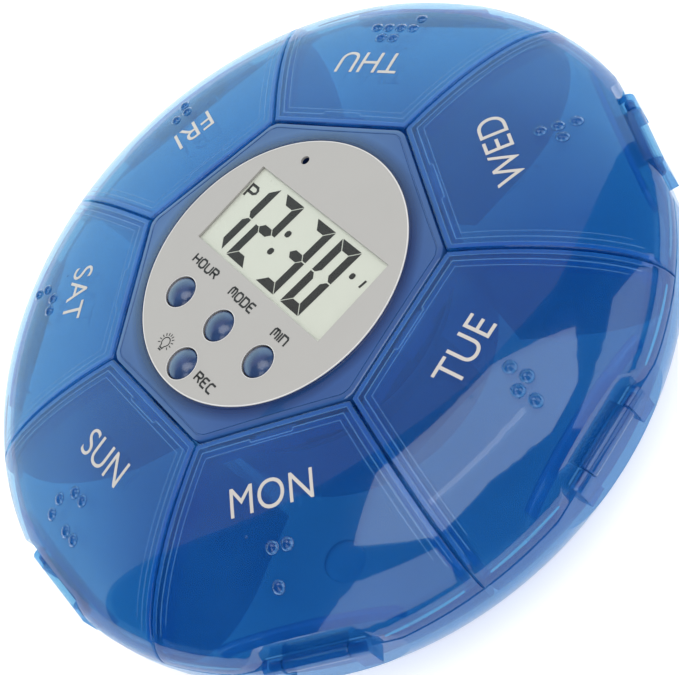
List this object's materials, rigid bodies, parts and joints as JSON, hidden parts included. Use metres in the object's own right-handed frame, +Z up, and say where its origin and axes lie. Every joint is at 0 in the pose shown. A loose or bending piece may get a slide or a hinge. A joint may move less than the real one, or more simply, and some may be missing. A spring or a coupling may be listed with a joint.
{
  "type": "travel pill organizer",
  "caption": "Round domed pill organizer with wedge compartments under hinged lids and a central timer with display and push buttons.",
  "frame": {"origin": "under the centre of the round base, on the plane that the feet rest on", "axes": "+Z up through the dial, +X along the display's reading direction, +Y towards the top of the display; the Sunday lid is centred on -Y"},
  "size_m": [0.1404, 0.1396, 0.037],
  "materials": {
    "blue_shell": "translucent blue, polished",
    "blue_lid": "translucent blue, polished",
    "navy_ring": "dark blue, polished",
    "dial_grey": "pale satin grey, printed",
    "clear_window": "clear",
    "display": "pale green-grey liquid crystal",
    "light_guide": "milky",
    "button_blue": "dark blue, polished",
    "blue_rubber": "matt",
    "zebra_rubber": "matt",
    "board_green": "solder mask",
    "black_plastic": "moulded",
    "white_plastic": "moulded",
    "steel": "plated",
    "cell_wrap": "printed sleeve"
  },
  "bodies": {
    "base": {"tray": "blue_shell", "hub_frame": "navy_ring", "timer_case": "navy_ring", "faceplate": "dial_grey", "circuit_board": "board_green", "tact_switches": "black_plastic", "lcd_window": "clear_window", "lcd_glass": "display", "backlight_panel": "light_guide", "zebra_strips": "zebra_rubber", "microphone": "steel", "controller_chip": "black_plastic", "speaker": "black_plastic", "timer_back": "white_plastic", "timer_screws": "steel", "battery_holder": "white_plastic", "battery_cells": "cell_wrap", "contact_springs": "steel", "contact_plates": "steel", "rubber_feet": "blue_rubber"},
    "lid_sun": {"lid_sun": "blue_lid"},
    "lid_mon": {"lid_mon": "blue_lid"},
    "lid_tue": {"lid_tue": "blue_lid"},
    "lid_wed": {"lid_wed": "blue_lid"},
    "lid_thu": {"lid_thu": "blue_lid"},
    "lid_fri": {"lid_fri": "blue_lid"},
    "lid_sat": {"lid_sat": "blue_lid"},
    "button_hour": {"button_hour": "button_blue"},
    "button_mode": {"button_mode": "button_blue"},
    "button_min": {"button_min": "button_blue"},
    "button_light": {"button_light": "button_blue"},
    "battery_door": {"battery_door": "blue_shell"}
  },
  "joints": [
    {"name": "lid_sun_hinge", "type": "hinge", "parent": "base", "child": "lid_sun", "pos_m": [0, -0.0682, 0.01965], "axis": [1, 0, 0], "range_deg": [0, 115]},
    {"name": "lid_mon_hinge", "type": "hinge", "parent": "base", "child": "lid_mon", "pos_m": [0.05332, -0.04252, 0.01965], "axis": [0.6235, 0.7818, 0], "range_deg": [0, 115]},
    {"name": "lid_tue_hinge", "type": "hinge", "parent": "base", "child": "lid_tue", "pos_m": [0.06649, 0.01518, 0.01965], "axis": [-0.2225, 0.9749, 0], "range_deg": [0, 115]},
    {"name": "lid_wed_hinge", "type": "hinge", "parent": "base", "child": "lid_wed", "pos_m": [0.02959, 0.06145, 0.01965], "axis": [-0.901, 0.4339, 0], "range_deg": [0, 115]},
    {"name": "lid_thu_hinge", "type": "hinge", "parent": "base", "child": "lid_thu", "pos_m": [-0.02959, 0.06145, 0.01965], "axis": [-0.901, -0.4339, 0], "range_deg": [0, 115]},
    {"name": "lid_fri_hinge", "type": "hinge", "parent": "base", "child": "lid_fri", "pos_m": [-0.06649, 0.01518, 0.01965], "axis": [-0.2225, -0.9749, 0], "range_deg": [0, 115]},
    {"name": "lid_sat_hinge", "type": "hinge", "parent": "base", "child": "lid_sat", "pos_m": [-0.05332, -0.04252, 0.01965], "axis": [0.6235, -0.7818, 0], "range_deg": [0, 115]},
    {"name": "button_hour_press", "type": "slide", "parent": "base", "child": "button_hour", "axis": [0, 0, -1], "range_m": [0, 0.0008], "stiffness_N_per_m": 400, "springref_m": -0.0004},
    {"name": "button_mode_press", "type": "slide", "parent": "base", "child": "button_mode", "axis": [0, 0, -1], "range_m": [0, 0.0008], "stiffness_N_per_m": 400, "springref_m": -0.0004},
    {"name": "button_min_press", "type": "slide", "parent": "base", "child": "button_min", "axis": [0, 0, -1], "range_m": [0, 0.0008], "stiffness_N_per_m": 400, "springref_m": -0.0004},
    {"name": "button_light_press", "type": "slide", "parent": "base", "child": "button_light", "axis": [0, 0, -1], "range_m": [0, 0.0008], "stiffness_N_per_m": 400, "springref_m": -0.0004},
    {"name": "battery_door_hinge", "type": "hinge", "parent": "base", "child": "battery_door", "pos_m": [-0.0243, 0, 0.00165], "axis": [0, 1, 0], "range_deg": [0, 90]}
  ]
}
